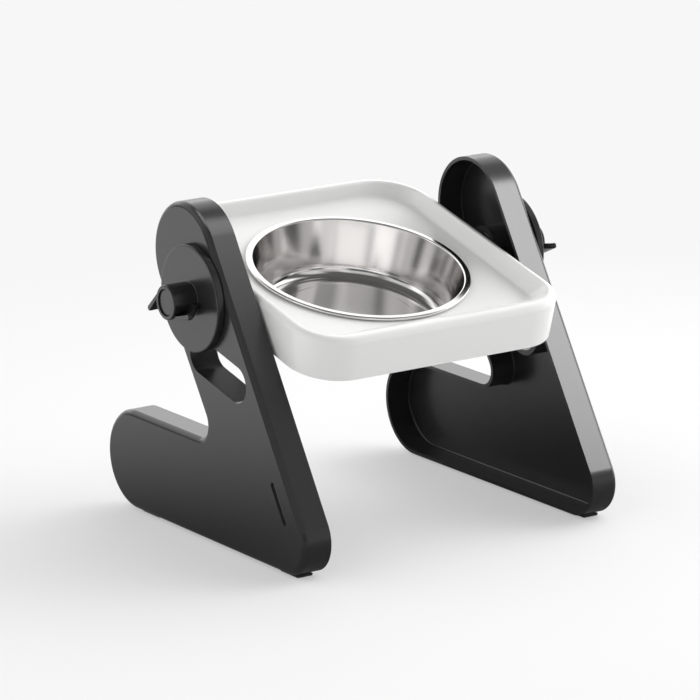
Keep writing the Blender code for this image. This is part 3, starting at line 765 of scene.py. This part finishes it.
class BOWLSTAND_OT_pads(bpy.types.Operator):
    """Make the thin black pads between the tray and the legs, and the guides that fill the slots"""
    bl_idname = "bowl_stand.pads"
    bl_label = "Pads and guides"

    def execute(self, context):
        tray, leg = context.scene.bowl_stand_tray, context.scene.bowl_stand_leg
        inside = leg.spread / 2 - leg.depth
        face, thickness, peg_depth = tray.half + GAP, 0.0015, 0.0032
        radius, bore, long, ease = 0.0107, SHANK_HOLE, leg.depth - 2 * GAP, 0.0012
        outline = [(y + 0.0005, z) for y, z in rounded_box(0.0205, -0.0120, 0.0100, 0.0040, 0.0040, 12, 2)]
        for side, way in SIDES.items():
            item = raw(prism(outline, way * face, way * (face + thickness)))
            for place in PEG_PLACES:
                peg = prism(circle_at(place, PEG_RADIUS, 24), way * (face - peg_depth),
                            way * (face + thickness / 2))
                combine(item, peg, "UNION")
            hole = prism(circle_at((0, 0), SHANK_HOLE, 32), way * (face - GAP), way * (face + thickness + GAP))
            combine(item, hole, "DIFFERENCE")
            soften(item, 0.0003)
            finish_piece(f"pivot_pad_{side}", tilt(settle(item)), "tray", "black_plastic",
                         f"pivot_plate_{side}")
            profile = [(bore + GAP, long), (radius - ease, long)]
            profile += arc((radius - ease, long - ease), ease, pi / 2, 0, 6)[1:]
            profile += arc((radius - ease, ease), ease, 0, -pi / 2, 6)
            profile += [(bore + GAP, 0), (bore, GAP), (bore, long - GAP)]
            guide = along_x(turned(profile, 72), PIVOT + Vector((way * (inside + GAP), 0, 0)), way)
            finish_piece(f"slot_guide_{side}", guide, "carriage", "black_plastic", f"slot_bush_{side}")
        return {"FINISHED"}


class BOWLSTAND_OT_bowl(bpy.types.Operator):
    """Make the polished steel bowl"""
    bl_idname = "bowl_stand.bowl"
    bl_label = "Bowl"

    def execute(self, context):
        bowl, tray = context.scene.bowl_stand_bowl, context.scene.bowl_stand_tray
        lip = bowl.lip / 2
        rest = tray.floor_up + GAP
        top = rest + bowl.lip
        rim, floor, bend = bowl.mouth + lip, top - bowl.depth, bowl.fillet
        flat = bowl.base - bend
        rise, wall = bowl.rise, bowl.wall
        step = [(bowl.panel + 2 * rise * t, floor + rise * (1 - t * t * (3 - 2 * t)))
                for t in (0, 0.17, 0.33, 0.5, 0.67, 0.83, 1)]
        profile = [(0, floor + rise), (bowl.panel * 0.5, floor + rise)] + step
        profile += arc((flat, floor + bend), bend, -pi / 2, 0, 18)
        profile += arc((rim, top - lip), lip, pi, pi / 2, 8)
        profile += arc((bowl.radius - lip, top - lip), lip, pi / 2, -pi / 2, 20)
        profile += [(bowl.radius - lip, rest + wall), (rim, top - wall), (bowl.mouth + wall, rest)]
        profile += arc((flat, floor + bend), bend + wall, 0, -pi / 2, 18)
        profile += [(r, z - wall) for r, z in reversed(step)]
        profile += [(bowl.panel * 0.5, floor + rise - wall), (0, floor + rise - wall)]
        place = tray_place() @ Matrix.Translation((0, -bowl.forward, 0))
        finish_piece("bowl_steel", turned(profile, 192), "bowl", "stainless_steel", "bowl", radians(50),
                     place)
        return {"FINISHED"}


WING_ANGLES = (radians(-19), radians(192))
# How far a wing reaches from the knob's axis, at depths below the barrel's end.
WING_REACH = [(0.0014, 0.0223), (0.0032, 0.0227), (0.0058, 0.0210), (0.0095, 0.0171),
              (0.0129, 0.0130), (0.0158, 0.0110)]
KNOB_TURN = {"left": 0, "right": radians(-14)}
# A wing is scooped where it reaches out this far, fully so after the span.
SCOOP_START, SCOOP_SPAN = 0.0145, 0.0055
SCOOP_FOOT, SCOOP_TIP = radians(34), radians(50)


def wing_reach(down):
    """How far a wing reaches at a depth below the barrel's end, on a smooth curve through the list."""
    for i, (start, end) in enumerate(zip(WING_REACH, WING_REACH[1:])):
        if down <= end[0] or end is WING_REACH[-1]:
            before = WING_REACH[max(i - 1, 0)]
            after = WING_REACH[min(i + 2, len(WING_REACH) - 1)]
            span = end[0] - start[0]
            t = (down - start[0]) / span
            first = (end[1] - before[1]) / (end[0] - before[0]) * span
            last = (after[1] - start[1]) / (after[0] - start[0]) * span
            return ((2 * t ** 3 - 3 * t ** 2 + 1) * start[1] + (t ** 3 - 2 * t ** 2 + t) * first
                    + (3 * t ** 2 - 2 * t ** 3) * end[1] + (t ** 3 - t ** 2) * last)


def wing_outline(knob, reach, turn, inset=0.0):
    """The barrel with its two wings: each is a curved blade with a bead at its tip, and full where short."""
    lean = acos((knob.barrel - knob.bead) / reach)
    root = asin(knob.bead / knob.barrel)
    scoop = min(max((reach - SCOOP_START) / SCOOP_SPAN, 0.0), 1.0)
    beside = scoop * (SCOOP_FOOT + root) - root
    points = []
    for arm, after in zip(WING_ANGLES, (WING_ANGLES[1], WING_ANGLES[0] + 2 * pi)):
        arm, after = arm + turn, after + turn
        tip = Vector((reach * cos(arm), reach * sin(arm)))
        foot = arm + beside
        start = arm - pi / 2 - scoop * SCOOP_TIP
        slope = Vector((cos(arm + lean), sin(arm + lean)))
        inner = (tip + slope * knob.bead + slope * knob.barrel) / 2 - slope * (knob.bead + 0.0006)
        first = Vector((cos(foot), sin(foot))) * (knob.barrel - GAP)
        last = tip + Vector((cos(start), sin(start))) * (knob.bead - inset)
        middle = (first + last) / 2
        middle += (inner * 2 - middle * 2) * scoop
        points += [ring[0] for ring in eased([first], [middle], [last], 10)[1:-1]]
        points += arc(tip, knob.bead - inset, start, arm + lean, 18)
        points += arc((0, 0), knob.barrel - GAP, arm + lean, after + beside, 8)
    return points


class BOWLSTAND_OT_knobs(bpy.types.Operator):
    """Make the clamp knobs with their finger wings and lids"""
    bl_idname = "bowl_stand.knobs"
    bl_label = "Clamp knobs"

    def execute(self, context):
        knob, leg = context.scene.bowl_stand_knob, context.scene.bowl_stand_leg
        face, end = knob.thickness, knob.thickness + knob.length
        seat = end - knob.recess - knob.cap_thickness - GAP
        stand = leg.spread / 2 + GAP
        ease, fillet, wing_ease = knob.barrel_round, 0.0006, 0.0006
        profile = [(0, end)] + arc((knob.barrel - ease, end - ease), ease, pi / 2, 0, 8)
        profile += arc((knob.barrel + fillet, face + fillet), fillet, pi, 1.5 * pi, 6)
        profile += arc((knob.disc - knob.disc_round, face - knob.disc_round), knob.disc_round, pi / 2, 0, 8)
        profile += [(knob.disc, GAP), (knob.disc - GAP, 0), (0, 0)]
        hollow = [(0, end + GAP), (knob.cap + GAP, end + GAP), (knob.cap + GAP, seat), (SHANK_HOLE, seat),
                  (SHANK_HOLE, -GAP), (0, -GAP)]
        hex_flats, hex_depth = 0.0106, 0.0043
        lid_ease = 0.0005
        for side, way in SIDES.items():
            place = Vector((way * stand, 0, 0))
            item = raw(along_x(turned(profile, 128), place, way))
            first, last = WING_REACH[0][0], WING_REACH[-1][0]
            places = [(first + wing_ease * (1 - cos(a)), wing_ease * (1 - sin(a)))
                      for a in (0, pi / 8, pi / 4, 3 * pi / 8)]
            places += [(first + wing_ease + (last - first - wing_ease) * i / 22, 0.0) for i in range(23)]
            rings = [at_x(wing_outline(knob, wing_reach(down), KNOB_TURN[side], inset),
                          way * (stand + end - down)) for down, inset in places]
            if way > 0:
                rings.reverse()
            combine(item, skin(rings), "UNION")
            combine(item, along_x(turned(hollow, 96), place, way), "DIFFERENCE")
            pocket = prism(arc((0, 0), hex_flats / sqrt(3), pi / 6, 11 * pi / 6, 5),
                           way * (stand + seat - hex_depth), way * (stand + end + GAP))
            combine(item, pocket, "DIFFERENCE")
            mesh = settle(item)
            mesh.transform(Matrix.Translation(PIVOT))
            finish_piece(f"knob_moulding_{side}", mesh, f"knob_{side}", "black_plastic",
                         f"clamp_knob_{side}", radians(38))
            lid = [(0, knob.cap_thickness)]
            lid += arc((knob.cap - lid_ease, knob.cap_thickness - lid_ease), lid_ease, pi / 2, 0, 6)
            lid += [(knob.cap, 0), (0, 0)]
            mesh = along_x(turned(lid, 96), PIVOT + Vector((way * (stand + seat + GAP), 0, 0)), way)
            finish_piece(f"knob_lid_{side}", mesh, f"knob_{side}", "black_plastic", f"knob_cap_{side}")
        return {"FINISHED"}


class BOWLSTAND_OT_hardware(bpy.types.Operator):
    """Finish the clamp screws and the brass inserts, whose CAD shapes stay"""
    bl_idname = "bowl_stand.hardware"
    bl_label = "Screws and inserts"

    def execute(self, context):
        for side in SIDES:
            for node, slot in ((f"clamp_screw_{side}", "zinc_steel"), (f"threaded_insert_{side}", "brass")):
                mesh = frame["nodes"][node].data
                mesh.materials.clear()
                mesh.materials.append(material(slot))
        return {"FINISHED"}


# The room's soft windows: azimuth and width in degrees, lower and upper edge on a unit sphere, brightness.
WINDOWS = ((0, 20, -0.05, 0.8, 1.45), (75, 40, 0.25, 0.8, 1.3), (180, 24, 0.22, 0.8, 0.56),
           (145, 20, 0.25, 0.75, 0.9), (-90, 16, 0.2, 0.6, 0.4), (-62, 10, 0.3, 0.75, 0.6),
           (-54, 12, -0.1, 0.25, 0.6), (-30, 12, -0.1, 0.3, 0.8), (-98, 12, -0.1, 0.25, 0.7),
           (-122, 20, 0.34, 0.7, 0.5))


class BOWLSTAND_OT_stage(bpy.types.Operator):
    """Make the pale floor, the soft studio light and the camera"""
    bl_idname = "bowl_stand.stage"
    bl_label = "Studio"

    def execute(self, context):
        scene, studio = context.scene, context.scene.bowl_stand_studio
        scene.view_settings.view_transform = "Standard"
        self.floor(scene, studio)
        self.room(scene, studio)
        self.lamps(scene, studio)
        self.camera(scene)
        return {"FINISHED"}

    def floor(self, scene, studio):
        """A round floor that melts into the backdrop; shiny surfaces see it with painted shade, dark near the
        stand and dimmer toward the front.
        """
        outline = circle_at((0, 0), 12.0, 64)
        mesh = bpy.data.meshes.new("studio_floor")
        mesh.from_pydata([(x, y, 0.0) for x, y in outline], [], [list(range(len(outline)))])
        paint = bpy.data.materials.new("studio_floor")
        paint.use_nodes = True
        graph = Graph(paint.node_tree)
        paint.node_tree.nodes.clear()
        x, y = graph.split(graph.node("ShaderNodeNewGeometry", output="Position"))[:2]
        away = (x * x + y * y) ** 0.5
        camera, glossy = graph.rays()
        plain = graph.node("ShaderNodeBsdfDiffuse", Color=rgba(studio.floor))
        white = graph.node("ShaderNodeEmission", Color=rgba((1, 1, 1)), Strength=studio.backdrop)
        seen = graph.node("ShaderNodeMixShader", _1=plain, _2=white,
                          _0=camera * away.ramp(studio.clear * 0.5, studio.clear * 1.8, studio.lift, 1.0))
        # Painted shade for glossy rays: the floor's glow is dark near the stand and dimmer toward the front, in
        # place of the stand's shade on the floor.
        gleam = (1 - ((away / studio.painted_shade_radius) ** 2.2).fall_off()) * y.ramp(-0.25, 0.15, 0.42, 1.0)
        sheen = graph.node("ShaderNodeEmission", Color=rgba((1, 1, 1)), Strength=gleam * studio.gleam)
        graph.node("ShaderNodeOutputMaterial",
                   Surface=graph.node("ShaderNodeMixShader", _0=glossy, _1=seen, _2=sheen))
        mesh.materials.append(paint)
        item = bpy.data.objects.new("studio_floor", mesh)
        scene.collection.objects.link(item)

    def room(self, scene, studio):
        """A pale room that lights the stand; shiny surfaces see its backdrop and the windows round it."""
        world = bpy.data.worlds.new("studio_room")
        scene.world = world
        world.use_nodes = True
        graph = Graph(world.node_tree)
        world.node_tree.nodes.clear()
        x, y, z = graph.split(graph.node("ShaderNodeTexCoord", output="Generated"))
        turn = graph.node("ShaderNodeMath", {"operation": "ARCTAN2"}, _0=y, _1=x)

        def window(azimuth, width, low, high, power):
            off = (turn - radians(azimuth)).math("COSINE")
            return (off.ramp(cos(radians(width * 1.5)), cos(radians(width * 0.6)))
                    * z.ramp(low - 0.07, low + 0.07) * z.ramp(high - 0.08, high + 0.08, 1.0, 0.0) * power)

        fill = (x.ramp(0.1, 0.9) * studio.right + x.ramp(-0.1, -0.9) * studio.left
                + y.ramp(0.1, 0.9) * studio.rear) * z.ramp(-0.1, 0.2) + z.ramp(0.3, 1.0) * studio.above
        shine = window(57, 44, -0.3, 0.45, studio.shine_back - studio.shine_base) + studio.shine_base
        for panel in WINDOWS:
            shine = shine + window(*panel)
        camera, glossy = graph.rays()
        lit = glossy * shine + (1 - glossy) * fill
        strength = camera * studio.backdrop + (1 - camera) * lit
        graph.node("ShaderNodeOutputWorld",
                   Surface=graph.node("ShaderNodeBackground", Color=rgba((1, 1, 1)), Strength=strength))

    def lamp(self, scene, name, place, across, up, power):
        """A rectangular lamp that faces down."""
        light = bpy.data.lights.new(name, "AREA")
        light.shape = "RECTANGLE"
        light.size, light.size_y = across, up
        light.energy = power
        item = bpy.data.objects.new(name, light)
        item.location = place
        scene.collection.objects.link(item)
        return item

    def lamps(self, scene, studio):
        """The key light, which gloss doesn't show, and a softbox for the gloss of each leg shell alone."""
        key = self.lamp(scene, "key_light", (1.27, -0.15, 0.86), 1.3, 0.9, studio.key)
        key.rotation_euler = (Vector((0, 0, 0.08)) - key.location).to_track_quat("-Z", "Y").to_euler()
        key.visible_glossy = False
        for name, place, across, up, power in (
                ("softbox_left", (0.064, -0.165, 0.72), 0.95, 0.38, studio.softbox_left),
                ("softbox_right", (0.583, -0.535, 0.72), 1.15, 0.42, studio.softbox_right)):
            item = self.lamp(scene, name, place, across, up, power)
            item.rotation_euler = (0, 0, radians(-31))
            item.visible_diffuse = False
            item.light_linking.receiver_collection = bpy.data.collections.new(name)

    def camera(self, scene):
        """The photo's viewpoint: turned from +Y toward +X by the yaw, and tipped down by the pitch."""
        yaw, pitch, roll = radians(32.987), radians(14.266), radians(-1.187)
        ahead = Vector((sin(yaw) * cos(pitch), cos(yaw) * cos(pitch), -sin(pitch)))
        right = Vector((cos(yaw), -sin(yaw), 0))
        up = right.cross(ahead)
        across = right * cos(roll) + up * sin(roll)
        above = up * cos(roll) - right * sin(roll)
        data = bpy.data.cameras.new("camera")
        data.sensor_width = 36
        data.lens = 236.5
        data.clip_start, data.clip_end = 0.1, 60
        item = bpy.data.objects.new("camera", data)
        item.matrix_world = (Matrix.Translation((-1.4472, -2.2212, 0.7731))
                             @ Matrix((across, above, -ahead)).transposed().to_4x4())
        scene.collection.objects.link(item)
        scene.camera = item


STEPS = (BOWLSTAND_OT_stage, BOWLSTAND_OT_legs, BOWLSTAND_OT_feet, BOWLSTAND_OT_tray, BOWLSTAND_OT_pads,
         BOWLSTAND_OT_bowl, BOWLSTAND_OT_knobs, BOWLSTAND_OT_hardware)


class BOWLSTAND_PT_panel(bpy.types.Panel):
    """Sizes, looks and steps of the bowl stand"""
    bl_label = "Bowl Stand"
    bl_idname = "BOWLSTAND_PT_panel"
    bl_space_type = "VIEW_3D"
    bl_region_type = "UI"
    bl_category = "Bowl Stand"

    def draw(self, context):
        for name, group in GROUPS.items():
            box = self.layout.box()
            box.label(text=name.replace("bowl_stand_", "").capitalize())
            for field in group.__annotations__:
                box.prop(getattr(context.scene, name), field)
        for step in STEPS:
            self.layout.operator(step.bl_idname)


def register():
    for kind in (*GROUPS.values(), *STEPS, BOWLSTAND_PT_panel):
        bpy.utils.register_class(kind)
    for name, group in GROUPS.items():
        setattr(bpy.types.Scene, name, bpy.props.PointerProperty(type=group))


def unregister():
    for name in GROUPS:
        delattr(bpy.types.Scene, name)
    for kind in reversed((*GROUPS.values(), *STEPS, BOWLSTAND_PT_panel)):
        bpy.utils.unregister_class(kind)


def main():
    register()
    for step in STEPS:
        family, action = step.bl_idname.split(".")
        getattr(getattr(bpy.ops, family), action)()


if __name__ == "__main__":
    main()
